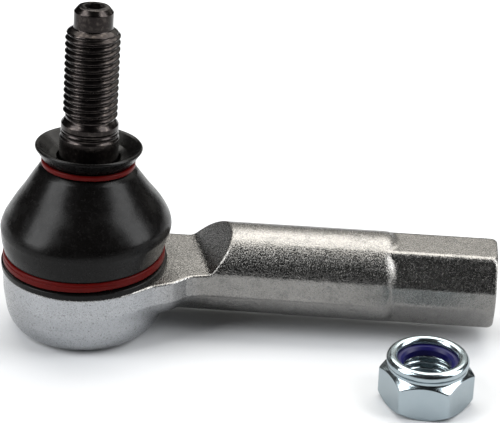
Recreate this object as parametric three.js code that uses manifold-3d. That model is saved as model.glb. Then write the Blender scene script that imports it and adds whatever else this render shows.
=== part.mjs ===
// Outer tie rod end: forged housing with a threaded hexagon end, ball stud in a plastic
// bearing shell, dust boot held by two clamp rings, and the lock nut for the stud.
// Millimetres, +Z up out of the housing. The origin is under the ball centre, on the plane of the
// housing's flat underside; +X runs along the shank to its hexagon end.
import * as THREE from 'three';
import { mergeVertices } from 'three/addons/utils/BufferGeometryUtils.js';
import Module from 'manifold-3d';

const wasm = await Module();
wasm.setup();

// ---- driving dimensions ---------------------------------------------------------------------
const GAP = 0.3; // clearance between pieces that touch on the real part
const FINE = 48; // facets round a large diameter
const MEDIUM = 32; // facets round a small one

const BALL_Z = 14; // height of the ball centre, which every tilt passes through
const BALL_R = 11;
const LEAN = { toHex: 2.3, back: 2.74 }; // degrees that the stud rests off upright, along +X and +Y

const HEAD_R = 18.4;
const HEAD_TOP_Z = 15.2; // turned face that the boot flange sits on
const HEAD_CORNER = { radial: 5.4, axial: 7.2 }; // rounded bottom edge
const SEAT_R = 16; // turned neck inside the boot
const SEAT_TOP_Z = 20.2;
const CAVITY_R = 13.3; // bore for the bearing shell, entered from below
const CAVITY_TOP_Z = 17;
const RIM_R = 11.2; // edge rolled in under the closing plate
const RIM_T = 1.2;
const PLATE_T = 1.7; // closing plate
const DISH_R = 8;
const MOUTH_R = 10.1; // opening that the stud leaves through
const MOUTH_Z = 19.5;

const SHANK = { y: 6.5, z: 12.7, r: 10.3, halfWidth: 9.95 }; // its line passes beside the ball
const SHANK_END_X = 70.3; // where the hexagon starts
const HEX_AF = 17.9; // across flats, top and bottom
const HEX_HALF_WIDTH = 9.13; // the two side corners are trimmed too
const HEX_BEVEL = 2.4; // length of the turned bevel from round shank to hexagon
const END_X = 92.8;
const END_CHAMFER = 0.9;
const THREAD_MINOR_R = 6.2; // M14 x 1.5 female thread
const THREAD_DEPTH = 38;
const COUNTERSINK_R = 7.3;

// flat milled over the arm that climbs the start of the shank: its heading from +X, how far out it
// starts to climb, its steepness in degrees and the fillet at its foot
const CLEARANCE = { heading: 17, flatTo: 26.7, climb: 50.7, fillet: 2 };

const STUD = {
  flatZ: 4.2,
  neckR: 5.6,
  neckZ: 26,
  taperZ: 33,
  taperR: 6.8,
  shoulderZ: 46,
  shoulderR: 6.35,
  collarZ: 49.5,
  runoutR: 5.2,
  threadStartZ: 50.9,
  threadEndZ: 69.9,
  threadR: 6,
  pilotR: 4.3,
  pilotZ: 70.7,
  tipZ: 75.5,
  tipChamfer: 0.6,
  socketR: 2.1,
  socketDepth: 3,
};

const BOOT_WALL = 1.6;
const LOWER_RING = { r: 17.75, z: 17.95, halfWidth: 0.5, halfHeight: 0.95 };
const UPPER_RING = { r: 10, z: 39.6, halfWidth: 0.5, halfHeight: 0.75 };
const RING_EASE = 0.2;
const FLANGE_R = 18.7;
const LIP = { r: 11.95, z: 43.7 };

const NUT = {
  x: 78,
  y: -24.4,
  turn: -3, // degrees that the nut is turned on the floor
  af: 18,
  cornerR: 10.3,
  chamfer: 0.8, // fall of the corner chamfers for each millimetre outwards
  height: 11.2,
  hexTopZ: 7.9,
  collarR: 8.87,
  roll: [1.25, 1.25], // half width and half height of the rolled-in edge
  lipR: 6.4,
  boreR: 5.2,
  insertR: 7.3,
  insertHoleR: 5.35,
  insertBaseZ: 7.7,
  insertTopZ: 9.6,
};

// ---- helpers --------------------------------------------------------------------------------
/** A closed geometry as a solid: shared corners merged, empty triangles dropped, faces out. */
function solidOf(geometry) {
  const bare = geometry.clone();
  bare.deleteAttribute('normal');
  bare.deleteAttribute('uv');
  const merged = mergeVertices(bare, 1e-4);
  const corners = merged.attributes.position;
  const triangles = [];
  let volume = 0;
  for (let i = 0; i < merged.index.count; i += 3) {
    const [a, b, c] = [0, 1, 2].map((k) => merged.index.getX(i + k));
    if (a === b || b === c || c === a) continue;
    triangles.push([a, b, c]);
    const [p, q, r] = [a, b, c].map((n) => new THREE.Vector3().fromBufferAttribute(corners, n));
    volume += p.dot(q.cross(r));
  }
  const ordered = volume < 0 ? triangles.map(([a, b, c]) => [a, c, b]) : triangles;
  return new wasm.Manifold(
    new wasm.Mesh({
      numProp: 3,
      vertProperties: Float32Array.from(corners.array),
      triVerts: Uint32Array.from(ordered.flat()),
    }),
  );
}

/** A solid back as a three.js geometry with flat shading. */
function geometryOf(solid) {
  const mesh = solid.getMesh();
  const indexed = new THREE.BufferGeometry();
  indexed.setAttribute('position', new THREE.BufferAttribute(mesh.vertProperties, 3));
  indexed.setIndex(new THREE.BufferAttribute(mesh.triVerts, 1));
  const geometry = indexed.toNonIndexed();
  geometry.computeVertexNormals();
  return geometry;
}

/** Solid of revolution about Z from [radius, height] points; the outline closes on itself. */
function revolve(outline, facets = FINE) {
  const points = outline.map(([r, z]) => new THREE.Vector2(r, z));
  points.push(points[0].clone());
  return solidOf(new THREE.LatheGeometry(points, facets).rotateX(Math.PI / 2));
}

/** [radius, height] points along a quarter or other arc of an ellipse, angles in degrees. */
function arc(centre, radii, from, to, steps) {
  return Array.from({ length: steps + 1 }, (_, i) => {
    const angle = THREE.MathUtils.degToRad(from + ((to - from) * i) / steps);
    return [centre[0] + radii[0] * Math.cos(angle), centre[1] + radii[1] * Math.sin(angle)];
  });
}

/** Flat band about Z with its outer corners eased. */
function clampRing({ r, z, halfWidth, halfHeight }) {
  const [inner, outer] = [r - halfWidth, r + halfWidth];
  return revolve([
    [inner, z - halfHeight],
    [outer - RING_EASE, z - halfHeight],
    [outer, z - halfHeight + RING_EASE],
    [outer, z + halfHeight - RING_EASE],
    [outer - RING_EASE, z + halfHeight],
    [inner, z + halfHeight],
  ]);
}

/** A shape drawn in Y and Z, extruded along X. */
function alongX(shape, fromX, toX, curveSegments = 12) {
  const geometry = new THREE.ExtrudeGeometry(shape, {
    depth: toX - fromX,
    bevelEnabled: false,
    curveSegments,
  });
  const [x, y, z] = [[1, 0, 0], [0, 1, 0], [0, 0, 1]].map((v) => new THREE.Vector3(...v));
  const alongXAxis = new THREE.Matrix4().makeBasis(y, z, x);
  return solidOf(geometry.applyMatrix4(alongXAxis).translate(fromX, 0, 0));
}

/** A round bar or cone on the shank's centre line, with the given number of facets. */
function shankBar(fromX, toX, startR, endR, facets = MEDIUM) {
  const geometry = new THREE.CylinderGeometry(endR, startR, toX - fromX, facets);
  geometry.rotateZ(-Math.PI / 2);
  return solidOf(geometry.translate((fromX + toX) / 2, SHANK.y, SHANK.z));
}

// ---- housing --------------------------------------------------------------------------------
/** Round head with its turned boot seat and rounded bottom edge. */
function headBlank() {
  const cornerCentre = [HEAD_R - HEAD_CORNER.radial, HEAD_CORNER.axial];
  const corner = arc(cornerCentre, [HEAD_CORNER.radial, HEAD_CORNER.axial], -90, 0, 8);
  return revolve([
    [0, 0],
    ...corner,
    [HEAD_R, HEAD_TOP_Z],
    [SEAT_R, HEAD_TOP_Z],
    [SEAT_R, SEAT_TOP_Z - 0.8],
    [SEAT_R - 0.8, SEAT_TOP_Z],
    [0, SEAT_TOP_Z],
  ]);
}

/** Web that fills the corner between head and shank on the side that the shank is offset from. */
function arm() {
  const flank = new THREE.SplineCurve(
    [[8, -16], [13, -12.6], [18, -9.6], [21.5, -7.5], [24, -4.7], [27, -2.8], [31, 0]].map(
      ([x, y]) => new THREE.Vector2(x, y),
    ),
  ).getPoints(12);
  const plan = new THREE.Shape([
    new THREE.Vector2(2, -16),
    ...flank,
    new THREE.Vector2(31, SHANK.y),
    new THREE.Vector2(2, SHANK.y),
  ]);
  const slab = new THREE.ExtrudeGeometry(plan, { depth: HEAD_TOP_Z - 1, bevelEnabled: false });
  const section = new THREE.Shape(
    [[SHANK.y + 1, 20], [SHANK.y + 1, 2.6], [3, 2.9], [-17, 11], [-17, 20]].map(
      ([y, z]) => new THREE.Vector2(y, z),
    ),
  );
  return solidOf(slab.translate(0, 0, 1)).intersect(alongX(section, 0, 40));
}

/** Round shank with trimmed sides, bevelled down to the hexagon at its end. */
function shank() {
  const trim = Math.asin(SHANK.halfWidth / SHANK.r); // from vertical to the start of the flat
  const section = new THREE.Shape();
  section.absarc(SHANK.y, SHANK.z, SHANK.r, Math.PI / 2 - trim, Math.PI / 2 + trim, false);
  section.absarc(SHANK.y, SHANK.z, SHANK.r, -Math.PI / 2 - trim, -Math.PI / 2 + trim, false);
  const bar = alongX(section, 8, SHANK_END_X, 20);
  const reach = 65;
  const grow = (reach * (SHANK.r - HEX_AF / 2)) / HEX_BEVEL;
  const bevel = shankBar(SHANK_END_X - reach, SHANK_END_X, HEX_AF / 2 + grow, HEX_AF / 2, FINE);
  return bar.intersect(bevel);
}

/** Hexagon end with trimmed side corners and a turned chamfer on its end face. */
function hexEnd() {
  const half = HEX_AF / 2;
  const flat = half / Math.sqrt(3);
  const sideZ = (2 * flat - HEX_HALF_WIDTH) * Math.sqrt(3);
  const outline = [
    [-flat, half],
    [-HEX_HALF_WIDTH, sideZ],
    [-HEX_HALF_WIDTH, -sideZ],
    [-flat, -half],
    [flat, -half],
    [HEX_HALF_WIDTH, -sideZ],
    [HEX_HALF_WIDTH, sideZ],
    [flat, half],
  ];
  const shape = new THREE.Shape(
    outline.map(([y, z]) => new THREE.Vector2(y + SHANK.y, z + SHANK.z)),
  );
  const turned = shankBar(SHANK_END_X - 7, END_X - END_CHAMFER, 10.5, 10.5).add(
    shankBar(END_X - END_CHAMFER, END_X, 10.5, 9.4),
  );
  return alongX(shape, SHANK_END_X - 6, END_X).intersect(turned);
}

/** Space milled away over the arm and up a slant into the start of the shank. */
function milledClearance() {
  const { heading, flatTo, climb, fillet } = CLEARANCE;
  const slope = THREE.MathUtils.degToRad(climb);
  const setback = fillet * Math.tan(slope / 2);
  const foot = arc([flatTo - setback, HEAD_TOP_Z + fillet], [fillet, fillet], -90, climb - 90, 4);
  const top = 40;
  const outline = [
    [-40, HEAD_TOP_Z],
    ...foot,
    [flatTo + (top - HEAD_TOP_Z) / Math.tan(slope), top],
    [-40, top],
  ];
  const profile = new THREE.Shape(outline.map(([out, z]) => new THREE.Vector2(out, z)));
  const slab = new THREE.ExtrudeGeometry(profile, { depth: 80, bevelEnabled: false });
  slab.translate(0, 0, -40).rotateX(Math.PI / 2);
  return solidOf(slab.rotateZ(THREE.MathUtils.degToRad(heading)));
}

/** Stepped bore for the bearing shell, closed below by the rolled rim. */
function headCavity() {
  return revolve([
    [0, -1],
    [RIM_R, -1],
    [RIM_R, RIM_T],
    [CAVITY_R, RIM_T],
    [CAVITY_R, CAVITY_TOP_Z],
    [MOUTH_R, MOUTH_Z],
    [MOUTH_R + 0.4, SEAT_TOP_Z + 1],
    [0, SEAT_TOP_Z + 1],
  ]);
}

function housing() {
  const bottomX = END_X - THREAD_DEPTH;
  const bore = shankBar(bottomX, END_X + 1, THREAD_MINOR_R, THREAD_MINOR_R);
  const drillTip = shankBar(bottomX - 3, bottomX, 0.6, THREAD_MINOR_R);
  const countersink = shankBar(END_X - 1.2, END_X + 0.3, COUNTERSINK_R - 1.2, COUNTERSINK_R + 0.3);
  const offsetBar = shank().add(arm()).subtract(milledClearance());
  const forging = headBlank().add(offsetBar).add(hexEnd());
  return forging.subtract(headCavity()).subtract(bore).subtract(countersink).subtract(drillTip);
}

// ---- ball joint -----------------------------------------------------------------------------
/** Pressed plate dished down to the housing's underside, with its edge above the rolled rim. */
function closingPlate() {
  const r = CAVITY_R - GAP;
  const low = RIM_T + GAP;
  return revolve([
    [0, 0],
    [DISH_R, 0],
    [DISH_R + 1.2, low],
    [r, low],
    [r, low + PLATE_T],
    [DISH_R + 0.6, low + PLATE_T],
    [DISH_R - 0.6, PLATE_T],
    [0, PLATE_T],
  ]);
}

function bearingShell() {
  const r = CAVITY_R - GAP;
  const inner = BALL_R + GAP;
  const baseZ = RIM_T + 2 * GAP + PLATE_T + 0.2;
  const topZ = 18;
  const from = THREE.MathUtils.radToDeg(Math.asin((topZ - BALL_Z) / inner));
  return revolve([
    [5, baseZ],
    [r, baseZ],
    [r, CAVITY_TOP_Z - 0.2],
    [11.55, topZ],
    ...arc([0, BALL_Z], [inner, inner], from, -63, 8),
  ]);
}

/** Ball, undercut neck, taper, collar, M12 x 1.5 thread and pilot tip with its hexagon socket. */
function ballStud() {
  const s = STUD;
  const flatAngle = THREE.MathUtils.radToDeg(Math.asin((s.flatZ - BALL_Z) / BALL_R));
  const neckAngle = THREE.MathUtils.radToDeg(Math.acos(s.neckR / BALL_R));
  const body = revolve(
    [
      [0, s.flatZ],
      ...arc([0, BALL_Z], [BALL_R, BALL_R], flatAngle, neckAngle, 12),
      [s.neckR, s.neckZ],
      [s.taperR - 0.15, s.taperZ],
      [s.shoulderR + 0.2, s.shoulderZ],
      [s.shoulderR - 0.25, s.shoulderZ + 0.4],
      [s.shoulderR - 0.25, s.shoulderZ + 1],
      [s.shoulderR, s.shoulderZ + 1.4],
      [s.shoulderR, s.collarZ - 0.8],
      [s.shoulderR - 0.5, s.collarZ],
      [s.runoutR, s.collarZ + 0.5],
      [s.runoutR, s.threadStartZ - 0.6],
      [s.threadR, s.threadStartZ],
      [s.threadR, s.threadEndZ - 0.7],
      [s.pilotR, s.pilotZ],
      [s.pilotR, s.tipZ - s.tipChamfer],
      [s.pilotR - s.tipChamfer, s.tipZ],
      [0, s.tipZ],
    ],
    MEDIUM,
  );
  const socket = new THREE.CylinderGeometry(s.socketR, s.socketR, 2 * s.socketDepth, 6);
  return body.subtract(solidOf(socket.rotateX(Math.PI / 2).translate(0, 0, s.tipZ)));
}

// ---- dust boot ------------------------------------------------------------------------------
const BOOT_OUTSIDE = [
  [18.4, 20.2],
  [19.05, 23.7],
  [18.6, 26.7],
  [16.8, 30.2],
  [13.9, 33.7],
  [11, 37.3],
];

/** Foot of the boot: flange on the head and the groove under the lower clamp ring. */
function bootSkirt() {
  const inner = SEAT_R + GAP;
  const { r, z, halfWidth, halfHeight } = LOWER_RING;
  const grooveR = r - halfWidth - GAP;
  return revolve([
    [inner, HEAD_TOP_Z + GAP],
    [FLANGE_R, HEAD_TOP_Z + GAP],
    [FLANGE_R - 0.1, 16.1],
    [grooveR, z - halfHeight - GAP],
    [grooveR, z + halfHeight + GAP],
    [18.3, z + halfHeight + 0.5],
    [18.35, BOOT_OUTSIDE[0][1] - GAP],
    [inner, BOOT_OUTSIDE[0][1] - GAP],
  ]);
}

/** Flexible wall of the boot. */
function bootBellows() {
  const inside = BOOT_OUTSIDE.map(([r, z]) => [r - BOOT_WALL, z]).reverse();
  return revolve([...BOOT_OUTSIDE, ...inside], FINE);
}

/** Top of the boot: groove for the upper clamp ring and the funnel-shaped lip round the stud. */
function bootCollar() {
  const inner = STUD.taperR + GAP;
  const { r, z, halfWidth, halfHeight } = UPPER_RING;
  const grooveR = r - halfWidth - GAP;
  return revolve([
    [inner, 38.3],
    [10.6, 38.3],
    [grooveR, z - halfHeight - GAP],
    [grooveR, z + halfHeight + GAP],
    [10.5, 41.2],
    [LIP.r, LIP.z - 0.4],
    [LIP.r - 0.6, LIP.z],
    [8.4, 40.6],
    [inner, 40.6],
  ]);
}

// ---- lock nut -------------------------------------------------------------------------------
/** Hexagon lock nut with a round collar rolled in over its nylon ring. */
function lockNut() {
  const half = NUT.af / 2;
  const fall = (NUT.cornerR - half) * NUT.chamfer;
  const sharpR = half / Math.cos(Math.PI / 6);
  const prism = new THREE.CylinderGeometry(sharpR, sharpR, NUT.hexTopZ + 1.2, 6);
  prism.rotateX(Math.PI / 2).translate(0, 0, (NUT.hexTopZ + 1.2) / 2).rotateZ(Math.PI / 6);
  const turned = revolve(
    [
      [0, 0],
      [half - 0.3, 0],
      [NUT.cornerR, 0.2 + fall],
      [NUT.cornerR, NUT.hexTopZ - fall],
      [NUT.collarR - 0.4, NUT.hexTopZ + (half - NUT.collarR + 0.4) * NUT.chamfer],
      [0, NUT.hexTopZ + 0.4],
    ],
    MEDIUM,
  );
  const rollCentre = [NUT.collarR - NUT.roll[0], NUT.height - NUT.roll[1]];
  const collar = revolve(
    [
      [0, NUT.hexTopZ - 1],
      [NUT.collarR - 0.4, NUT.hexTopZ - 1],
      ...arc(rollCentre, NUT.roll, -45, 90, 7),
      [NUT.lipR, NUT.height - 0.3],
      [0, NUT.height - 0.3],
    ],
    MEDIUM,
  );
  const inside = revolve(
    [
      [0, -1],
      [NUT.boreR + 1.8, -1],
      [NUT.boreR, 0.8],
      [NUT.boreR, NUT.insertBaseZ - GAP],
      [NUT.insertR + GAP, NUT.insertBaseZ - GAP],
      [NUT.insertR + GAP, NUT.insertTopZ],
      [NUT.lipR, NUT.insertTopZ + GAP],
      [NUT.lipR, NUT.height + 1],
      [0, NUT.height + 1],
    ],
    MEDIUM,
  );
  return solidOf(prism).intersect(turned).add(collar).subtract(inside);
}

/** Nylon locking ring. */
function nutInsert() {
  const { insertHoleR: hole, insertR: r, insertBaseZ: low, insertTopZ: high } = NUT;
  const outline = [[hole, low], [r, low], [r, high - GAP], [hole + 0.5, high], [hole, high - 0.4]];
  return revolve(outline, MEDIUM);
}

// ---- assembly -------------------------------------------------------------------------------
function finish(color, roughness, metalness) {
  return new THREE.MeshStandardMaterial({ color, roughness, metalness });
}

const forgedZinc = finish(0xb3b3b0, 0.45, 0.9);
const turnedSteel = finish(0x9a9c9e, 0.4, 0.9);
const blackSteel = finish(0x262627, 0.45, 0.6);
const plastic = finish(0xe6e2d6, 0.5, 0);
const rubber = finish(0x232222, 0.5, 0);
const redBand = finish(0x9d1712, 0.45, 0);
const brightZinc = finish(0xb9bfc2, 0.25, 1);
const blueNylon = finish(0x2a2563, 0.45, 0);

const assembly = new THREE.Group();

function place(name, solid, material, group = assembly) {
  const mesh = new THREE.Mesh(geometryOf(solid), material);
  mesh.name = name;
  group.add(mesh);
}

place('housing', housing(), forgedZinc);
place('closing_plate', closingPlate(), turnedSteel);
place('bearing_shell', bearingShell(), plastic);
place('boot_skirt', bootSkirt(), rubber);
place('boot_bellows', bootBellows(), rubber.clone());
place('lower_clamp_ring', clampRing(LOWER_RING), redBand);

// the stud rests leaning, with the top of the boot that grips it, about the ball centre
const leaning = new THREE.Group();
const onBall = (solid) => solid.translate(0, 0, -BALL_Z);
leaning.position.z = BALL_Z;
leaning.rotation.set(
  THREE.MathUtils.degToRad(-LEAN.back),
  THREE.MathUtils.degToRad(LEAN.toHex),
  0,
  'ZYX',
);
place('ball_stud', onBall(ballStud()), blackSteel, leaning);
place('boot_collar', onBall(bootCollar()), rubber.clone(), leaning);
place('upper_clamp_ring', onBall(clampRing(UPPER_RING)), redBand.clone(), leaning);
assembly.add(leaning);

const looseNut = new THREE.Group();
looseNut.position.set(NUT.x, NUT.y, 0);
looseNut.rotation.z = THREE.MathUtils.degToRad(NUT.turn);
place('lock_nut', lockNut(), brightZinc, looseNut);
place('nut_insert', nutInsert(), blueNylon, looseNut);
assembly.add(looseNut);

export default assembly;
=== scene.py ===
"""Looks of an outer tie rod end: zinc plated forging, black ball stud, rubber boot, lock nut.

Shapes are given in millimetres in the part's own frame and turned into metres by MM.
"""
import math

import bpy
import numpy as np
from mathutils import Matrix, Vector


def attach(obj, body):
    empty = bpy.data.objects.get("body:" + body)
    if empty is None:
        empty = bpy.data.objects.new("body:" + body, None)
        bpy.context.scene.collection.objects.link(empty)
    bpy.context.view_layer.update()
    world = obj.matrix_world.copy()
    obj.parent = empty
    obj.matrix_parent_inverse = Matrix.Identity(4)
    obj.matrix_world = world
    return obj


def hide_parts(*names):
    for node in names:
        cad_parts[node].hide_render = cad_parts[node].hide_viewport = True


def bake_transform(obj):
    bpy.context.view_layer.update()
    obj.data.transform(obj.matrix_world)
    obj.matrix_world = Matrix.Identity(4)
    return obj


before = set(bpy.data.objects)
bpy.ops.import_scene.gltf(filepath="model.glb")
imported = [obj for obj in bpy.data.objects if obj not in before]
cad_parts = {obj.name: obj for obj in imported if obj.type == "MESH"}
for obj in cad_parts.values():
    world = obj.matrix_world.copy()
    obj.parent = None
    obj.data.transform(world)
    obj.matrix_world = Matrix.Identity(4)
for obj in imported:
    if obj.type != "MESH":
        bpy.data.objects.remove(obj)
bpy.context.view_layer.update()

MM = 0.001

# ---- driving dimensions, millimetres ----------------------------------------------------------
BALL_Z = 14.0
BALL_R = 11.0
LEAN_TO_HEX = 2.3  # degrees that the stud rests off upright, along +X
LEAN_BACK = 2.74  # and along +Y

HEAD_R = 18.4
HEAD_TOP_Z = 15.2
CREASE_Z = 9.9  # parting line round the forging
HEAD_TAPER = 0.11  # slope of the head's side under the parting line
HEAD_CORNER = (5.0, 7.0)  # rounded bottom edge, across and up
HEAD_CORNER_SET = 0.38  # how far inside the head's side that edge starts
SEAT_R, SEAT_LOW_Z, SEAT_TOP_Z = 16.0, 11.8, 20.2  # raised ring that the boot sits on
CAVITY_R, CAVITY_TOP_Z = 13.3, 17.0
RIM_R, RIM_T = 11.2, 1.2  # lip rolled over the closing plate
MOUTH_R, MOUTH_Z = 10.1, 19.5
CONE_MID_Z = 18.0  # height where the cavity's cone runs into its mouth
PLATE_T, PLATE_GAP = 1.7, 0.3
DISH_R, DISH_SLOPE = 8.0, 1.2  # flat middle of the closing plate, and its sloping ring's width

SHANK_Y, SHANK_Z = 6.5, 12.7
SHANK_R = 10.3
SHANK_HALF_WIDTH = 9.95
SHANK_FROM_X, SHANK_END_X = 9.0, 68.2
BEVEL_LENGTH = 2.4
BEVEL_SUNK = 0.05  # how far inside the hexagon's flats the bevel ends
SHANK_STOP_X = SHANK_END_X + 1.6 * BEVEL_LENGTH  # end of the shank, inside the hexagon
LEDGE = 0.18  # step inwards under the parting line of the shank and the arm
LEDGE_DROP = 2.5  # how far the parting line lies below the shank's axis
LEDGE_TALL = 0.15  # height over which it steps in
ARM_ROUND_DROP = 0.61  # how far below the shank's axis the arm's side starts to round in
ARM_ROUND_SQUASH = 1.3  # how much flatter than a circle it is there
ARM_SPARE = 0.6  # height left on the arm for the milled flat to take off
HEX_HALF = 8.95
HEX_HALF_WIDTH = 9.13
HEX_FROM_X = 45.0  # inside the shank
END_X = 92.8
END_CHAMFER_R = 9.4
ROD_THREAD_X = END_X - 38.0  # inner end of the M14 x 1.5 female thread
ROD_THREAD_R = 6.2  # its crest radius
ROD_THREAD_DEPTH = 0.8
ROD_SINK = 1.1  # width of its countersink
ROD_RUN_OUT = 2.0  # length over which that thread fades out at its inner end
DRILL_SLOPE = 1.7  # fall of the drill point's radius for each millimetre of depth
CLEARANCE_HEADING = math.radians(17)  # way that the milled flat faces, from +X
CLEARANCE_FLAT_TO = 26.7  # how far out it starts to climb
CLEARANCE_CLIMB = math.radians(50.7)

THREAD_PITCH = 1.5
STUD_THREAD_R = 6.0
STUD_THREAD_DEPTH = 0.7
THREAD_FROM_Z, THREAD_TO_Z = 50.9, 69.9
THREAD_FADE_Z = THREAD_TO_Z + 1  # where the thread has run out onto the tip
BALL_FLAT_DEG, BALL_NECK_DEG = -62.8, 58.0  # latitudes where the ball is cut off
SOCKET_HALF = 1.85  # half the width across flats of the hexagon in the stud's tip

LOWER_RING_R, LOWER_RING_Z = 17.75, 17.95
UPPER_RING_R, UPPER_RING_Z = 10.0, 39.6
LOWER_BAND = (0.45, 0.95, 0.35)  # half thickness, half height and edge radius of the strips
OUTER_BAND = (0.34, 0.62, 0.15)
UPPER_BAND = (0.42, 0.55, 0.3)
OUTER_TURN_END = math.radians(-58)  # where the lower strip's outer turn ends
OUTER_TURN_SWEEP = math.radians(230)
OUTER_TURN_LIFT = 0.3  # how far outside the inner turn it ends
OUTER_TURN_SINK = 0.42  # how far it has sunk into the inner turn where it starts
OUTER_TURN_DROP = (0.2, 0.25)  # how far it hangs below the inner turn, at its end and further on
FLANGE_R = 18.7
LIP_R, LIP_Z = 11.95, 43.7
BOOT_WALL = 1.6
BOOT_GAP = 0.25  # between the boot's foot and its seat
BOOT_SET = 0.75  # sideways bulge of the wall towards the hexagon end
BOOT_SPLIT_Z = 28.0
BOOT_INNER_TOP_Z = 37.6  # where the wall's inner face meets the neck
BOOT_BEND_FROM_Z, BOOT_BEND_TO_Z = 20.0, 37.0

NUT_X, NUT_Y, NUT_TURN = 78.0, -24.4, -3.0
NUT_AF = 18.0
NUT_CORNER_R = 10.3
NUT_HEIGHT = 11.2
NUT_HEX_TOP = 7.9
NUT_CHAMFER = 0.8  # fall of the corner chamfers for each millimetre outwards
NUT_SHOULDER = 0.45  # height of the round shoulder above the hexagon
NUT_BASE_EASE = 0.2  # start of the corner chamfers on the underside
NUT_COLLAR_R = 8.87
NUT_NECK_IN, NUT_NECK_TALL = 0.4, 4.0  # neck: how far inside the rolled edge, and its height
NUT_ROLL = (1.25, 1.25)  # half width and half height of the rolled-in edge
NUT_LIP_R = 6.4
NUT_BORE_R = 5.2
NUT_THREAD_DEPTH = 0.85
NUT_SINK = 1.5  # width of the countersink in its underside
INSERT_R, INSERT_HOLE_R = 7.3, 5.2
INSERT_BASE_Z, INSERT_TOP_Z = 7.7, 9.8


# ---- mesh helpers -----------------------------------------------------------------------------
def mesh_object(name, points, faces, material, sharp_deg=40.0):
    """A smooth-shaded object from points in millimetres, with edges over sharp_deg kept sharp."""
    mesh = bpy.data.meshes.new(name)
    mesh.from_pydata((np.asarray(points, float) * MM).tolist(), [], faces)
    mesh.validate()
    mesh.polygons.foreach_set("use_smooth", [True] * len(mesh.polygons))
    mesh.set_sharp_from_angle(angle=math.radians(sharp_deg))
    mesh.materials.append(material)
    obj = bpy.data.objects.new(name, mesh)
    bpy.context.scene.collection.objects.link(obj)
    return obj


def rounded(outline, radius, steps=4, closed=True):
    """The outline with each corner replaced by an arc of about that radius."""
    points = [np.array(p, float) for p in outline]
    made = []
    for i, p in enumerate(points):
        if not closed and i in (0, len(points) - 1):
            made.append(p)
            continue
        before, after = points[i - 1] - p, points[(i + 1) % len(points)] - p
        room = min(np.linalg.norm(before), np.linalg.norm(after)) * 0.45
        a, b = before / np.linalg.norm(before), after / np.linalg.norm(after)
        half = math.acos(max(-1.0, min(1.0, float(a @ b)))) / 2
        cut = min(room, radius / max(math.tan(half), 1e-6))
        if math.degrees(half) > 87:
            made.append(p)
            continue
        for k in range(steps + 1):
            t = k / steps
            made.append((1 - t) ** 2 * (p + a * cut) + 2 * t * (1 - t) * p + t * t * (p + b * cut))
    return np.array(made)


def spline(points, per_span=6):
    """A smooth curve through the points (Catmull-Rom)."""
    p = np.array(points, float)
    p = np.vstack([2 * p[0] - p[1], p, 2 * p[-1] - p[-2]])
    made = []
    for i in range(1, len(p) - 2):
        for k in range(per_span):
            t = k / per_span
            made.append(
                0.5
                * (
                    2 * p[i]
                    + (p[i + 1] - p[i - 1]) * t
                    + (2 * p[i - 1] - 5 * p[i] + 4 * p[i + 1] - p[i + 2]) * t * t
                    + (3 * p[i] - p[i - 1] - 3 * p[i + 1] + p[i + 2]) * t**3
                )
            )
    made.append(p[-2])
    return np.array(made)


def full_turn(columns):
    """Angles of that many even steps round a circle."""
    return np.arange(columns) * 2 * math.pi / columns


def turned_grid(outline, columns):
    """Rows of points: each (radius, height) of the outline turned about Z."""
    angles = full_turn(columns)
    r, z = outline[:, 0], outline[:, 1]
    return np.stack(
        [np.outer(r, np.cos(angles)), np.outer(r, np.sin(angles)), np.outer(z, np.ones(columns))], -1
    )


def quads_between(rows, columns, spans):
    """Faces between each of the first spans rows of points and the row after it."""
    return [
        (i * columns + j, i * columns + (j + 1) % columns,
         ((i + 1) % rows) * columns + (j + 1) % columns, ((i + 1) % rows) * columns + j)
        for i in range(spans) for j in range(columns)
    ]


def ring_mesh(outline, columns=160):
    """Points and faces of a closed outline of (radius, height) turned about Z into a ring."""
    rows = len(outline)
    faces = quads_between(rows, columns, rows)
    r, z = outline[:, 0], outline[:, 1]
    area = 0.5 * np.sum(r * np.roll(z, -1) - np.roll(r, -1) * z)
    if area < 0:
        faces = [f[::-1] for f in faces]
    return turned_grid(outline, columns).reshape(-1, 3), faces


def capped_mesh(grid):
    """Points and faces of rows of points round a line, closed by a point at each end."""
    rows, columns = grid.shape[:2]
    points = np.vstack([grid.reshape(-1, 3), grid[0].mean(0), grid[-1].mean(0)])
    faces = quads_between(rows, columns, rows - 1)
    first, last = rows * columns, rows * columns + 1
    faces += [(first, (j + 1) % columns, j) for j in range(columns)]
    base = (rows - 1) * columns
    faces += [(last, base + j, base + (j + 1) % columns) for j in range(columns)]
    return points, faces


def leaned(points, share=1.0):
    """Points turned about the ball centre by the stud's rest lean, each by its own share."""
    p = np.asarray(points, float) - [0, 0, BALL_Z]
    back = np.radians(-LEAN_BACK) * share
    c, s = np.cos(back), np.sin(back)
    p = np.stack([p[:, 0], c * p[:, 1] - s * p[:, 2], s * p[:, 1] + c * p[:, 2]], -1)
    side = np.radians(LEAN_TO_HEX) * share
    c, s = np.cos(side), np.sin(side)
    p = np.stack([c * p[:, 0] + s * p[:, 2], p[:, 1], c * p[:, 2] - s * p[:, 0]], -1)
    return p + [0, 0, BALL_Z]


# ---- distance fields --------------------------------------------------------------------------
def smooth_min(a, b, k):
    """Union of two fields, with a fillet where they come within k millimetres of each other."""
    h = np.maximum(k - np.abs(a - b), 0) / k
    return np.minimum(a, b) - h * h * k / 4


def smooth_max(a, b, k):
    """Intersection of two fields, with its edge rounded in the same way."""
    return -smooth_min(-a, -b, k)


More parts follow.
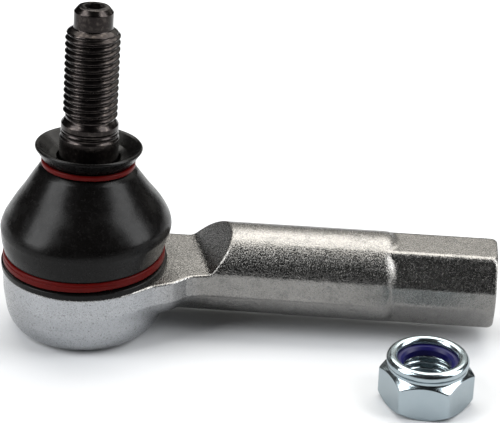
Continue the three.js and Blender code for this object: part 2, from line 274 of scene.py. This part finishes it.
def surface_net(field, low, high, step):
    """Closed quad mesh of the surface where field(x, y, z) crosses zero inside a box."""
    axes = [np.arange(a, b + step, step) for a, b in zip(low, high)]
    values = field(*np.meshgrid(*axes, indexing="ij", sparse=True))
    inside = values < 0
    corners = [(i, j, k) for i in (0, 1) for j in (0, 1) for k in (0, 1)]
    shape = [n - 1 for n in values.shape]

    def corner(array, c):
        return array[c[0]:c[0] + shape[0], c[1]:c[1] + shape[1], c[2]:c[2] + shape[2]]

    count = sum(corner(inside, c).astype(np.int8) for c in corners)
    cells = np.argwhere((count > 0) & (count < 8))
    at = {c: values[tuple((cells + c).T)] for c in corners}
    total, crossings = np.zeros((len(cells), 3)), np.zeros(len(cells))
    for c in corners:
        for axis in range(3):
            if c[axis]:
                continue
            d = tuple(1 if a == axis else v for a, v in enumerate(c))
            a, b = at[c], at[d]
            hit = (a < 0) != (b < 0)
            t = np.where(hit, a / np.where(hit, a - b, 1), 0)
            place = np.array(c, float) + np.outer(t, np.eye(3)[axis])
            total += place * hit[:, None]
            crossings += hit
    points = np.array(low) + (cells + total / crossings[:, None]) * step
    index = np.full(shape, -1, np.int64)
    index[tuple(cells.T)] = np.arange(len(cells))
    faces = []
    for axis in range(3):
        here = [slice(1, -1)] * 3
        here[axis] = slice(0, -1)
        there = list(here)
        there[axis] = slice(1, None)
        a, b = inside[tuple(here)], inside[tuple(there)]
        u, v = (axis + 1) % 3, (axis + 2) % 3
        for flip, mask in ((False, a & ~b), (True, b & ~a)):
            edge = np.argwhere(mask)
            edge[:, [u, v]] += 1
            ring = []
            for du, dv in ((-1, -1), (0, -1), (0, 0), (-1, 0)):
                cell = edge.copy()
                cell[:, u] += du
                cell[:, v] += dv
                ring.append(index[tuple(cell.T)])
            faces.append(np.stack(ring[::-1] if flip else ring, -1))
    return settle(field, points, step), np.vstack(faces).tolist()


def settle(field, points, step, rounds=3):
    """Moves the points onto the surface along the field's slope."""
    p = points.copy()
    nudge = 0.05 * step
    for _ in range(rounds):
        value = field(*p.T)
        slope = np.stack(
            [(field(*(p + e).T) - field(*(p - e).T)) / (2 * nudge) for e in np.eye(3) * nudge], -1
        )
        move = -value[:, None] * slope / np.maximum((slope**2).sum(1), 0.05)[:, None]
        length = np.linalg.norm(move, axis=1, keepdims=True)
        p += move * np.minimum(1, 0.5 * step / np.maximum(length, 1e-9))
    return p


def thread_wave(along, angle):
    """0 at the crest and 1 at the root of a 60 degree thread, with a flat at both."""
    crest, flank = 0.12, 0.74  # shares of half the pitch
    phase = np.abs((along / THREAD_PITCH - angle / (2 * math.pi)) % 1 - 0.5) * 2
    return np.clip((1 - crest - phase) / flank, 0, 1)


# ---- housing ----------------------------------------------------------------------------------
ARM_OUTLINE = np.array([
    (2, -17.8), (10.5, -15), (13.6, -12.7), (17, -9.9), (19.4, -8.7), (21.2, -7.7), (22.5, -6.4),
    (23.8, -5), (25.3, -4.1), (27.3, -3.55), (29, -3.2), (32, -2.2), (32, 15.9), (2, 15.9),
], float)


def polygon_distance(x, y, outline):
    """Signed distance in plan from the outline, negative inside."""
    best = np.full(np.broadcast(x, y).shape, 1e9)
    inside = np.zeros(best.shape, bool)
    for a, b in zip(outline, np.roll(outline, -1, 0)):
        d = b - a
        t = np.clip(((x - a[0]) * d[0] + (y - a[1]) * d[1]) / (d @ d), 0, 1)
        best = np.minimum(best, np.hypot(x - a[0] - t * d[0], y - a[1] - t * d[1]))
        crosses = (a[1] > y) != (b[1] > y)
        with np.errstate(divide="ignore", invalid="ignore"):
            at_x = a[0] + (y - a[1]) * d[0] / (d[1] if d[1] else 1e-9)
        inside ^= crosses & (x < at_x)
    return np.where(inside, -best, best)


def head_field(r, z):
    """Round head: straight side, slight taper under the parting line, elliptical bottom corner."""
    across, up = HEAD_CORNER
    side = r - HEAD_R - np.where(z < CREASE_Z, (z - CREASE_Z) * HEAD_TAPER, 0.0)
    u, v = (r - (HEAD_R - HEAD_CORNER_SET - across)) / across, (up - z) / up
    length = np.hypot(u, v)
    scale = (across * u**2 + up * v**2) / np.maximum(length**2, 1e-6)
    corner = (length - 1) * scale
    wall = np.where((u > 0) & (v > 0), corner, np.maximum(side, -z))
    return smooth_max(wall, z - HEAD_TOP_Z, 0.45)


def ledge(w):
    """How far the forging steps in at height w from the shank's axis."""
    return LEDGE * np.clip((-w - LEDGE_DROP) / LEDGE_TALL, 0, 1)


def shank_field(x, v, w, radius):
    """Round bar with trimmed sides that ends in a turned bevel onto the hexagon."""
    bar = smooth_max(radius - SHANK_R + ledge(w), np.abs(v) - SHANK_HALF_WIDTH, 0.12)
    slope = (SHANK_R - HEX_HALF + BEVEL_SUNK) / BEVEL_LENGTH
    cone = (radius - SHANK_R + (x - SHANK_END_X) * slope) / math.hypot(1, slope)
    return smooth_max(smooth_max(bar, cone, 0.5), x - SHANK_STOP_X, 0.3)


def hex_field(x, v, w, radius):
    """Hexagon bar with trimmed side corners and a turned chamfer on its end."""
    slanted = np.abs(v) * math.sin(math.pi / 3) + np.abs(w) * 0.5 - HEX_HALF
    bar = smooth_max(np.abs(w) - HEX_HALF, slanted, 0.8)
    bar = smooth_max(bar, np.abs(v) - HEX_HALF_WIDTH, 0.25)
    chamfer = (radius - END_CHAMFER_R + (x - END_X)) / math.sqrt(2)
    end = smooth_max(x - END_X, chamfer, 0.3)
    return smooth_max(smooth_max(bar, end, 0.5), HEX_FROM_X - x, 0.5)


def arm_field(x, y, z, w):
    """Web between head and shank: upright wall above the parting line, rounded in below it."""
    plan = polygon_distance(x, y, ARM_OUTLINE)
    reach = np.maximum(plan + SHANK_HALF_WIDTH, 0)
    below = np.minimum((w + ARM_ROUND_DROP) * ARM_ROUND_SQUASH, 0)
    under = np.hypot(reach, below) - SHANK_R + ledge(w)
    return smooth_max(smooth_max(plan, under, 0.2), z - HEAD_TOP_Z - ARM_SPARE, 0.1)


def cavity_field(r, z):
    """Stepped bore of the head, from the rolled rim up to the mouth."""
    rim = np.maximum(r - RIM_R, z - RIM_T - 1)
    bore = np.maximum(r - CAVITY_R, np.maximum(RIM_T - z, z - CAVITY_TOP_Z))
    slope = (CAVITY_R - MOUTH_R) / (MOUTH_Z - CAVITY_TOP_Z)
    cone = np.maximum(r - CAVITY_R + (z - CAVITY_TOP_Z) * slope, np.abs(z - CONE_MID_Z) - 2)
    mouth = np.maximum(r - MOUTH_R, CONE_MID_Z - z)
    return np.minimum(np.minimum(rim, bore), np.minimum(cone, mouth))


def rod_bore_field(x, v, w, radius):
    """Threaded bore in the hexagon end, with its countersink and drill point."""
    depth = ROD_THREAD_DEPTH * np.clip((x - ROD_THREAD_X) / ROD_RUN_OUT, 0, 1)
    root = depth * thread_wave(x, np.arctan2(w, v))
    bore = np.maximum(radius - ROD_THREAD_R - root, ROD_THREAD_X - x)
    point = (radius - ROD_THREAD_R - (x - ROD_THREAD_X) * DRILL_SLOPE) / 2
    drill = np.maximum(point, x - ROD_THREAD_X - 0.1)
    sink = (radius - ROD_THREAD_R - ROD_SINK + (END_X - x)) / math.sqrt(2)
    return np.minimum(np.minimum(bore, drill), sink)


def housing_field(x, y, z):
    """Head, arm, shank and hexagon, less the milled flat, the ball's cavity and the rod's bore."""
    r = np.hypot(x, y)
    v, w = y - SHANK_Y, z - SHANK_Z
    radius = np.hypot(v, w)
    out = x * math.cos(CLEARANCE_HEADING) + y * math.sin(CLEARANCE_HEADING) - CLEARANCE_FLAT_TO
    slant = out * math.sin(CLEARANCE_CLIMB) - (z - HEAD_TOP_Z) * math.cos(CLEARANCE_CLIMB)
    milled = smooth_max(HEAD_TOP_Z - z, slant, 0.9)
    bar = smooth_min(shank_field(x, v, w, radius), hex_field(x, v, w, radius), 0.35)
    bar = smooth_max(bar, SHANK_FROM_X - x, 0.5)
    bar = smooth_min(bar, arm_field(x, y, z, w), 0.5)
    bar = smooth_max(bar, -milled, 0.4)
    body = smooth_min(head_field(r, z), bar, 1.2)
    body = np.maximum(body, -np.maximum(HEAD_TOP_Z + 0.02 - z, slant + 1))
    seat_mid = (SEAT_LOW_Z + SEAT_TOP_Z) / 2
    seat = smooth_max(r - SEAT_R, np.abs(z - seat_mid) - (SEAT_TOP_Z - seat_mid), 0.8)
    body = np.minimum(body, seat)
    body = smooth_max(body, -cavity_field(r, z), 0.3)
    return smooth_max(body, -rod_bore_field(x, v, w, radius), 0.25)


def build_housing(material):
    """Forging with its finished cuts, meshed inside a box a little larger than itself."""
    step = 0.32
    low, high = (-19.3, -19.3, -0.7), (END_X + 0.8, 19.3, 24)
    points, faces = surface_net(housing_field, low, high, step)
    obj = mesh_object("housing_forging", points, faces, material, 60)
    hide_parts("housing")
    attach(obj, "housing_body")


# ---- ball joint -------------------------------------------------------------------------------
def build_closing_plate(material):
    """Plate with a raised edge, which the head's lip holds."""
    r, low = CAVITY_R - PLATE_GAP, RIM_T + PLATE_GAP
    middle, half_slope = 0.6, DISH_SLOPE / 2
    outline = rounded([
        (middle, 0), (DISH_R, 0), (DISH_R + DISH_SLOPE, low), (r, low), (r, low + PLATE_T),
        (DISH_R + half_slope, low + PLATE_T), (DISH_R - half_slope, PLATE_T), (middle, PLATE_T),
    ], 0.3)
    points, faces = capped_mesh(turned_grid(outline, 128))
    obj = mesh_object("closing_plate_pressing", points, faces, material)
    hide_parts("closing_plate")
    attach(obj, "housing_body")


def stud_outline():
    """(radius, height) from the ball's flat up to the edge of the socket, without the thread."""
    ball = [
        (BALL_R * math.cos(a), BALL_Z + BALL_R * math.sin(a))
        for a in np.radians(np.linspace(BALL_FLAT_DEG, BALL_NECK_DEG, 28))
    ]
    above = rounded([
        (5.75, 23.4), (5.6, 26), (6.65, 33), (6.55, 45.7), (6.2, 46.1), (6.2, 46.5), (6.45, 46.85),
        (6.2, 47.2), (6.2, 47.5), (6.35, 47.9), (6.3, 48.9), (5.75, 49.6), (5.3, 50),
        (5.3, THREAD_FROM_Z - 0.5), (STUD_THREAD_R, THREAD_FROM_Z),
        (STUD_THREAD_R, THREAD_TO_Z - 0.7), (5.5, THREAD_TO_Z), (4.28, THREAD_TO_Z + 0.8),
        (4.28, 74.3), (3.4, 75.35), (2.5, 75.5),
    ], 0.25, closed=False)
    return [(0.8, ball[0][1])] + ball + above.tolist()


def level_loop(radii, z, angles):
    """Points at those radii and angles round Z, all at height z."""
    return np.stack([radii * np.cos(angles), radii * np.sin(angles), np.full(len(angles), z)], -1)


def build_stud(material):
    """Turned stud with a rolled thread and a hexagon socket sunk into its tip."""
    columns = 120
    angles = full_turn(columns)
    outline = np.array(stud_outline())
    threaded = np.arange(THREAD_FROM_Z, THREAD_FADE_Z, THREAD_PITCH / 18)
    blank = np.interp(threaded, outline[:, 1], outline[:, 0])
    below = [p for p in outline if p[1] < THREAD_FROM_Z - 0.05]
    above = [p for p in outline if p[1] > THREAD_FADE_Z]
    grid = []
    for r, z in below + list(zip(blank, threaded)) + above:
        radii = np.full(columns, r)
        if THREAD_FROM_Z - 0.1 < z < THREAD_FADE_Z:
            cut = STUD_THREAD_R - STUD_THREAD_DEPTH * thread_wave(z, angles)
            radii = np.minimum(radii, cut)
        grid.append(level_loop(radii, z, angles))
    hexagon = SOCKET_HALF / np.cos((angles % (math.pi / 3)) - math.pi / 6)
    socket = ((75.45, 1.08), (75.2, 1.0), (72.5, 1.0), (72.3, 0.6))  # height, share of the width
    for z, share in socket:
        grid.append(level_loop(hexagon * share, z, angles))
    points, faces = capped_mesh(np.array(grid))
    obj = mesh_object("ball_stud_turned", leaned(points), faces, material, 50)
    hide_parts("ball_stud")
    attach(obj, "stud")


# ---- dust boot --------------------------------------------------------------------------------
def boot_wall():
    """Outer and inner curves of the flexible wall, from the lower groove to the upper one."""
    outer = spline([
        (17.9, 19.2), (18.4, 21.2), (18.9, 23.6), (19.1, 24.7), (18.9, 25.9), (18.3, 27.4),
        (16.5, 30.3), (14.2, 33.3), (12.2, 36.2), (10.6, 38.5),
    ])
    slope = np.gradient(outer, axis=0)
    normal = np.stack([slope[:, 1], -slope[:, 0]], -1)
    normal /= np.linalg.norm(normal, axis=1, keepdims=True)
    return outer, outer - normal * BOOT_WALL


def split_at(curve, z):
    """The curve's parts below and above height z, both with a point at z and none too near it."""
    near = 0.15
    r = np.interp(z, curve[:, 1], curve[:, 0])
    cut = np.array([[r, z]])
    return (
        np.vstack([curve[curve[:, 1] < z - near], cut]),
        np.vstack([cut, curve[curve[:, 1] > z + near]]),
    )


def boot_set(points):
    """Points moved sideways by the set that the wall has taken, most at mid height."""
    held = 1.5  # height next to each ring that stays in place
    low, high = LOWER_RING_Z + held, UPPER_RING_Z - held
    t = np.clip((points[:, 2] - low) / (high - low), 0, 1)
    moved = points.copy()
    moved[:, 0] += BOOT_SET * np.sin(math.pi * t) ** 2
    return moved


def bend_share(z):
    """How much of the stud's lean the boot follows at height z."""
    t = np.clip((z - BOOT_BEND_FROM_Z) / (BOOT_BEND_TO_Z - BOOT_BEND_FROM_Z), 0, 1)
    return t * t * (3 - 2 * t)


def build_boot(material):
    """Foot and flexible wall below, wall, neck and lip above, bent by the stud's rest lean, more
    towards the top.
    """
    outer, inner = boot_wall()
    outer_low, outer_high = split_at(outer, BOOT_SPLIT_Z)
    inner_low, inner_high = split_at(inner, BOOT_SPLIT_Z)
    foot = rounded([
        (SEAT_R + BOOT_GAP, 19.6), (SEAT_R + BOOT_GAP, HEAD_TOP_Z + 0.06),
        (18.2, HEAD_TOP_Z + 0.06),
        (FLANGE_R, HEAD_TOP_Z - 0.12), (FLANGE_R, 16.45), (17.3, 16.75), (17.3, 18.95),
    ], 0.25, closed=False)
    lower = np.vstack([foot, outer_low, inner_low[::-1]])
    neck = rounded([
        (9.5, 39), (9.5, 40.5), (10.35, 40.75), (LIP_R, LIP_Z - 0.5), (LIP_R - 0.35, LIP_Z),
        (LIP_R - 0.95, LIP_Z - 0.3), (8.6, 41.6), (7.0, 41), (7.0, 38),
    ], 0.35, closed=False)
    upper = np.vstack([outer_high[:-1], neck, inner_high[inner_high[:, 1] < BOOT_INNER_TOP_Z][::-1]])
    pieces = (
        ("boot_lower_moulding", lower, "housing_body", "boot_middle", BOOT_BEND_FROM_Z,
         BOOT_SPLIT_Z, ("boot_skirt",)),
        ("boot_upper_moulding", upper, "boot_middle", "boot_top", BOOT_SPLIT_Z,
         BOOT_BEND_TO_Z, ("boot_bellows", "boot_collar")),
    )
    for name, outline, first, second, low, high, nodes in pieces:
        points, faces = ring_mesh(outline, 192)
        points = boot_set(leaned(points, bend_share(points[:, 2])))
        obj = mesh_object(name, points, faces, material)
        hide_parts(*nodes)
        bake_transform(obj)


def band_section(r, z, band):
    """Outline of a strip's cross section round (r, z), with rounded edges."""
    half_thick, half_tall, ease = band
    return rounded([
        (r - half_thick, z - half_tall), (r + half_thick, z - half_tall),
        (r + half_thick, z + half_tall), (r - half_thick, z + half_tall),
    ], ease, 3)


def build_lower_ring(material):
    """Flat strip round the boot's foot, whose outer turn ends in plain sight on the front."""
    points, faces = ring_mesh(band_section(LOWER_RING_R, LOWER_RING_Z, LOWER_BAND))
    obj = mesh_object("lower_clamp_strip", points, faces, material, 50)
    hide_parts("lower_clamp_ring")
    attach(obj, "housing_body")

    count = 150
    half_thick, half_tall, ease = OUTER_BAND
    rows = []
    for i in range(count + 1):
        share = i / count  # of the sweep, counted from the end in sight
        angle = OUTER_TURN_END - OUTER_TURN_SWEEP * share
        r = LOWER_RING_R + OUTER_TURN_LIFT - OUTER_TURN_SINK * share**2
        z = LOWER_RING_Z - (OUTER_TURN_DROP[0] + OUTER_TURN_DROP[1] * min(1, share * 4))
        tall = half_tall * min(1, 0.35 + share * 12)
        c, s = math.cos(angle), math.sin(angle)
        section = band_section(r, z, (half_thick, tall, ease))
        rows.append([(out * c, out * s, up) for out, up in section])
    points, faces = capped_mesh(np.array(rows))
    obj = mesh_object("lower_clamp_outer_turn", points, faces, material, 50)
    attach(obj, "housing_body")


def build_upper_ring(material):
    """Strip in the groove under the boot's lip, which leans with the stud."""
    points, faces = ring_mesh(band_section(UPPER_RING_R, UPPER_RING_Z, UPPER_BAND))
    obj = mesh_object("upper_clamp_strip", leaned(points), faces, material)
    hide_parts("upper_clamp_ring")
    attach(obj, "boot_top")


# ---- lock nut ---------------------------------------------------------------------------------
def nut_field(x, y, z):
    """Chamfered hexagon under a rolled collar, less the threaded bore and the ring's pocket."""
    r = np.hypot(x, y)
    apothem = NUT_AF / 2
    sides = np.abs(x)
    for turn in (60, 120):
        c, s = math.cos(math.radians(turn)), math.sin(math.radians(turn))
        sides = smooth_max(sides, np.abs(x * c + y * s), 0.12)
    prism = smooth_max(sides - apothem, r - NUT_CORNER_R, 0.25)
    top = (z - NUT_HEX_TOP + (r - apothem) * NUT_CHAMFER) / math.hypot(1, NUT_CHAMFER)
    base = (NUT_BASE_EASE - z + (r - apothem) * NUT_CHAMFER) / math.hypot(1, NUT_CHAMFER)
    prism = smooth_max(smooth_max(prism, top, 0.12), smooth_max(base, -z, 0.3), 0.12)
    prism = smooth_max(prism, z - NUT_HEX_TOP - NUT_SHOULDER, 0.2)
    wide, tall = NUT_ROLL
    roll_r, roll_z = NUT_COLLAR_R - wide, NUT_HEIGHT - tall
    half_neck = NUT_NECK_TALL / 2
    neck = np.maximum(r - NUT_COLLAR_R + NUT_NECK_IN, np.abs(z - roll_z + half_neck) - half_neck)
    roll = (np.hypot((r - roll_r) / wide, (z - roll_z) / tall) - 1) * wide
    solid = smooth_min(smooth_min(prism, neck, 0.3), roll, 0.1)
    root = NUT_THREAD_DEPTH * thread_wave(z, np.arctan2(y, x))
    bore = r - NUT_BORE_R - root * np.clip((INSERT_BASE_Z - z) * 2, 0, 1)
    mouth = (r - NUT_BORE_R - NUT_SINK + z) / math.sqrt(2)
    pocket = np.maximum(r - INSERT_R, INSERT_BASE_Z - 0.1 - z)
    pocket = np.maximum(pocket, z - INSERT_TOP_Z - 0.15)
    lip = np.maximum(r - NUT_LIP_R, INSERT_TOP_Z - z)
    hollow = np.minimum(np.minimum(bore, mouth), np.minimum(pocket, lip))
    return smooth_max(solid, -hollow, 0.2)


def place_nut_piece(points):
    """Points turned and moved to where the loose nut lies."""
    a = math.radians(NUT_TURN)
    c, s = math.cos(a), math.sin(a)
    x, y, z = np.asarray(points).T
    return np.stack([c * x - s * y + NUT_X, s * x + c * y + NUT_Y, z], -1)


def build_nut(steel, nylon):
    """Loose nut with one flat to the front, and the locking ring that its edge is rolled over."""
    step = 0.17
    margin = 0.5
    reach = NUT_AF / 2 / math.cos(math.pi / 6) + margin
    points, faces = surface_net(
        nut_field, (-reach, -reach, -margin), (reach, reach, NUT_HEIGHT + margin), step
    )
    x, y, z = points.T
    turned = np.stack([-y, x, z], -1)
    obj = mesh_object("lock_nut_body", place_nut_piece(turned), faces, steel, 60)
    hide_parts("lock_nut")
    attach(obj, "nut")
    outline = rounded([
        (INSERT_HOLE_R, INSERT_BASE_Z), (INSERT_R - 0.05, INSERT_BASE_Z),
        (INSERT_R - 0.05, INSERT_TOP_Z - 0.2), (NUT_LIP_R, INSERT_TOP_Z),
        (INSERT_HOLE_R + 0.55, INSERT_TOP_Z - 0.1), (INSERT_HOLE_R, INSERT_TOP_Z - 0.7),
    ], 0.2)
    points, faces = ring_mesh(outline, 128)
    obj = mesh_object("nut_locking_ring", place_nut_piece(points), faces, nylon)
    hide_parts("nut_insert")
    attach(obj, "nut")


# ---- materials --------------------------------------------------------------------------------
class Shader:
    """A node material with one Principled shader, and short calls for the nodes that feed it."""

    def __init__(self, name):
        self.material = bpy.data.materials.new(name)
        self.material.use_nodes = True
        self.nodes = self.material.node_tree.nodes
        self.links = self.material.node_tree.links
        self.shader = self.nodes["Principled BSDF"]
        self.place = self.nodes.new("ShaderNodeTexCoord").outputs["Object"]

    def set(self, **values):
        """Feeds each named input of the shader from a socket or with a plain value."""
        for key, value in values.items():
            socket = self.shader.inputs[key.replace("_", " ")]
            if isinstance(value, bpy.types.NodeSocket):
                self.links.new(value, socket)
            else:
                socket.default_value = value

    def axis(self, letter):
        """One coordinate of the part's own frame, metres."""
        node = self.nodes.new("ShaderNodeSeparateXYZ")
        self.links.new(self.place, node.inputs[0])
        return node.outputs[letter]

    def noise(self, size_mm, detail=3.0, rough=0.55):
        """Noise whose lumps are about that large."""
        node = self.nodes.new("ShaderNodeTexNoise")
        node.inputs["Scale"].default_value = 1 / (size_mm * MM)
        node.inputs["Detail"].default_value = detail
        node.inputs["Roughness"].default_value = rough
        self.links.new(self.place, node.inputs["Vector"])
        return node.outputs["Fac"]

    def span(self, value, low, high, from_low=0.0, from_high=1.0):
        """value rescaled from one range to another and clamped."""
        node = self.nodes.new("ShaderNodeMapRange")
        self.links.new(value, node.inputs["Value"])
        for key, number in (("From Min", from_low), ("From Max", from_high),
                            ("To Min", low), ("To Max", high)):
            node.inputs[key].default_value = number
        return node.outputs["Result"]

    def mix(self, share, first, second):
        """Colour between two, each a colour or a socket."""
        node = self.nodes.new("ShaderNodeMix")
        node.data_type = "RGBA"
        self.links.new(share, node.inputs["Factor"])
        for key, value in (("A", first), ("B", second)):
            socket = [s for s in node.inputs if s.name == key and s.type == "RGBA"][0]
            if isinstance(value, bpy.types.NodeSocket):
                self.links.new(value, socket)
            else:
                socket.default_value = (*value, 1)
        return [s for s in node.outputs if s.type == "RGBA"][0]

    def maths(self, operation, a, b):
        """Result of one Math node on two sockets."""
        node = self.nodes.new("ShaderNodeMath")
        node.operation = operation
        self.links.new(a, node.inputs[0])
        self.links.new(b, node.inputs[1])
        return node.outputs[0]

    def bump(self, height, strength, depth_mm, normal=None):
        """Normal roughened by a height, on top of another normal if there is one."""
        node = self.nodes.new("ShaderNodeBump")
        node.inputs["Strength"].default_value = strength
        node.inputs["Distance"].default_value = depth_mm * MM
        self.links.new(height, node.inputs["Height"])
        if normal is not None:
            self.links.new(normal, node.inputs["Normal"])
        return node.outputs["Normal"]


def forged_zinc():
    """Zinc plate over a shot-blasted forging: fine grain and faint dark pits.

    The plate is painted bluer and brighter round the head as a painted reflection of the lit floor,
    and darker along the shank and over the top faces as painted shade; the shank is also warmer and
    stained.
    """
    s = Shader("forged_zinc_plate")
    grains = s.span(s.noise(0.34, 2.0, 0.65), 0, 1, 0.46, 0.74)
    fine = s.noise(0.24, 1.0, 0.6)
    broad = s.noise(6.0, 3.0, 0.5)
    pits = s.span(s.noise(0.45, 2.0, 0.7), 0, 1, 0.42, 0.30)
    # painted light: the head's brighter, bluer tone is a painted reflection of the lit floor, the
    # shank's darker tone is painted shade, and real stains are mixed into that shank tone
    head = s.mix(broad, (0.355, 0.367, 0.382), (0.41, 0.417, 0.428))
    shank = s.mix(broad, (0.210, 0.204, 0.195), (0.275, 0.267, 0.254))
    stains = s.span(s.noise(2.4, 5.0, 0.7), 0, 0.5, 0.50, 0.66)
    shank = s.mix(stains, shank, (0.12, 0.12, 0.115))
    # where the painted shade of the shank tone goes: past the head and over the top faces
    painted_shade_past_head = s.span(s.axis("X"), 0, 1, 15 * MM, 27 * MM)
    painted_shade_on_top = s.span(s.axis("Z"), 0, 1, (HEAD_TOP_Z - 0.6) * MM, (HEAD_TOP_Z - 0.1) * MM)
    tint = s.mix(s.maths("MAXIMUM", painted_shade_past_head, painted_shade_on_top), head, shank)
    s.set(
        Base_Color=s.mix(pits, tint, (0.17, 0.172, 0.175)),
        Metallic=1.0,
        Roughness=s.span(fine, 0.18, 0.30, 0.3, 0.7),
        Normal=s.bump(fine, 0.6, 0.03, s.bump(grains, 1.0, 0.040)),
    )
    return s.material


def turned_steel():
    """Zinc plated pressing with faint turning rings."""
    s = Shader("pressed_steel")
    s.set(
        Base_Color=s.mix(s.noise(3.0), (0.50, 0.50, 0.50), (0.60, 0.61, 0.62)),
        Metallic=1.0,
        Roughness=s.span(s.noise(0.8), 0.28, 0.42),
        Normal=s.bump(s.noise(0.4), 0.25, 0.04),
    )
    return s.material


def bearing_plastic():
    """Off-white acetal."""
    s = Shader("natural_acetal")
    s.set(
        Base_Color=s.mix(s.noise(4.0), (0.78, 0.75, 0.66), (0.86, 0.84, 0.77)),
        Roughness=s.span(s.noise(1.0), 0.4, 0.55),
        Normal=s.bump(s.noise(0.5), 0.2, 0.03),
    )
    return s.material


def black_steel():
    """Oiled black phosphate on turned steel."""
    s = Shader("black_phosphate")
    worn = s.span(s.noise(0.9, 4.0, 0.65), 0, 1, 0.5, 0.75)
    s.set(
        Base_Color=s.mix(worn, (0.024, 0.0205, 0.0195), (0.075, 0.064, 0.057)),
        Metallic=0.95,
        Roughness=s.span(s.noise(0.5), 0.16, 0.28, 0.3, 0.7),
        Normal=s.bump(s.noise(0.25), 0.15, 0.03),
    )
    return s.material


def boot_rubber():
    """Satin moulded rubber with dust and fine scuffs."""
    s = Shader("moulded_rubber")
    dust = s.span(s.noise(0.7, 4.0, 0.7), 0, 1, 0.55, 0.8)
    s.set(
        Base_Color=s.mix(dust, (0.0025, 0.0022, 0.0021), (0.012, 0.0115, 0.011)),
        Roughness=s.span(s.noise(2.5, 4.0, 0.6), 0.20, 0.32, 0.3, 0.7),
        Specular_IOR_Level=0.14,
        Normal=s.bump(s.noise(0.35, 3.0, 0.6), 0.3, 0.03),
    )
    return s.material


def red_band():
    """Dark red plastic strip, almost without shine."""
    s = Shader("red_clamp_strip")
    s.set(
        Base_Color=s.mix(s.noise(1.5, 3.0), (0.055, 0.0022, 0.0018), (0.088, 0.0032, 0.0025)),
        Roughness=s.span(s.noise(0.8), 0.3, 0.42),
        Specular_IOR_Level=0.07,
        Normal=s.bump(s.noise(0.3), 0.25, 0.03),
    )
    return s.material


def bright_zinc():
    """Bright blue-passivated zinc plate with faint pressing marks."""
    s = Shader("bright_zinc_plate")
    tint = s.mix(s.noise(2.5, 2.0), (0.31, 0.37, 0.40), (0.355, 0.41, 0.435))
    s.set(
        Base_Color=tint,
        Metallic=1.0,
        Roughness=s.span(s.noise(0.9, 3.0), 0.14, 0.26, 0.3, 0.7),
        Normal=s.bump(s.noise(0.6, 2.0), 0.12, 0.05),
    )
    return s.material


def blue_nylon():
    """Dark violet-blue nylon."""
    s = Shader("violet_nylon")
    s.set(
        Base_Color=s.mix(s.noise(1.2), (0.003, 0.0026, 0.038), (0.006, 0.005, 0.066)),
        Roughness=s.span(s.noise(0.6), 0.3, 0.42),
        Specular_IOR_Level=0.2,
        Normal=s.bump(s.noise(0.5), 0.2, 0.03),
    )
    return s.material


# ---- studio -----------------------------------------------------------------------------------
def area_light(name, place, aim, size, radiance, tint=(1, 1, 1)):
    """Rectangular softbox of a given radiance; place, aim and size in millimetres."""
    lamp = bpy.data.lights.new(name, "AREA")
    lamp.shape = "RECTANGLE"
    lamp.size, lamp.size_y = size[0] * MM, size[1] * MM
    lamp.energy = radiance * math.pi * lamp.size * lamp.size_y
    lamp.color = tint
    obj = bpy.data.objects.new(name, lamp)
    bpy.context.scene.collection.objects.link(obj)
    obj.location = Vector(place) * MM
    direction = (Vector(aim) - Vector(place)) * MM
    obj.rotation_euler = direction.to_track_quat("-Z", "Y").to_euler()


def build_studio():
    """Four softboxes over a plain pale floor."""
    middle, cool = (38, 3, 18), (0.98, 0.99, 1.0)
    area_light("overhead_softbox", (40, 310, 600), (40, 30, 0), (900, 560), 4.8, (1.0, 0.98, 0.94))
    area_light("back_softbox", (300, 800, 420), middle, (900, 420), 0.72, (1.0, 0.98, 0.91))
    area_light("left_softbox", (-600, -281, 500), middle, (440, 860), 7.6, cool)
    area_light("right_softbox", (727, -40, 500), middle, (440, 860), 6.8, cool)

    world = bpy.data.worlds.new("studio_world")
    world.use_nodes = True
    world.node_tree.nodes["Background"].inputs["Color"].default_value = (0.85, 0.92, 1.0, 1)
    world.node_tree.nodes["Background"].inputs["Strength"].default_value = 0.015
    bpy.context.scene.world = world

    half = 2000
    floor_mesh = bpy.data.meshes.new("floor")
    corners = [(-half, -half, 0), (half, -half, 0), (half, half, 0), (-half, half, 0)]
    floor_mesh.from_pydata([tuple(c * MM for c in p) for p in corners], [], [(0, 1, 2, 3)])
    floor = bpy.data.objects.new("floor", floor_mesh)
    bpy.context.scene.collection.objects.link(floor)
    s = Shader("floor_paper")
    s.set(
        Base_Color=s.mix(s.noise(60.0), (0.555, 0.563, 0.575), (0.561, 0.569, 0.581)),
        Roughness=0.9,
        Specular_IOR_Level=0.1,
    )
    floor_mesh.materials.append(s.material)


def build_camera():
    """Long lens from above the front, a little to the right, turned slightly on its axis."""
    azimuth, elevation, roll = (math.radians(a) for a in (4.399, 26.427, 1.628))
    distance = 420.3 * MM
    target = Vector((36.6, 8.3, 26.1)) * MM
    back = Vector((
        math.sin(azimuth) * math.cos(elevation), -math.cos(azimuth) * math.cos(elevation),
        math.sin(elevation),
    ))
    right = Vector((math.cos(azimuth), math.sin(azimuth), 0))
    up = back.cross(right)
    c, s = math.cos(roll), math.sin(roll)
    turn = Matrix((c * right + s * up, c * up - s * right, back)).transposed()
    data = bpy.data.cameras.new("camera")
    data.lens = 133.7
    data.sensor_width = 36
    data.clip_start, data.clip_end = 0.01, 20
    cam = bpy.data.objects.new("camera", data)
    bpy.context.scene.collection.objects.link(cam)
    cam.matrix_world = Matrix.Translation(target + back * distance) @ turn.to_4x4()
    bpy.context.scene.camera = cam


# ---- assembly ---------------------------------------------------------------------------------
def dress_bearing_shell(material):
    """The hidden shell keeps its plain shape and takes its own material."""
    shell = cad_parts["bearing_shell"]
    shell.data.materials.clear()
    shell.data.materials.append(material)


build_housing(forged_zinc())
build_closing_plate(turned_steel())
dress_bearing_shell(bearing_plastic())
build_stud(black_steel())
build_boot(boot_rubber())
red = red_band()
build_lower_ring(red)
build_upper_ring(red)
build_nut(bright_zinc(), blue_nylon())
build_studio()
build_camera()
bpy.context.scene.view_settings.view_transform = "Standard"
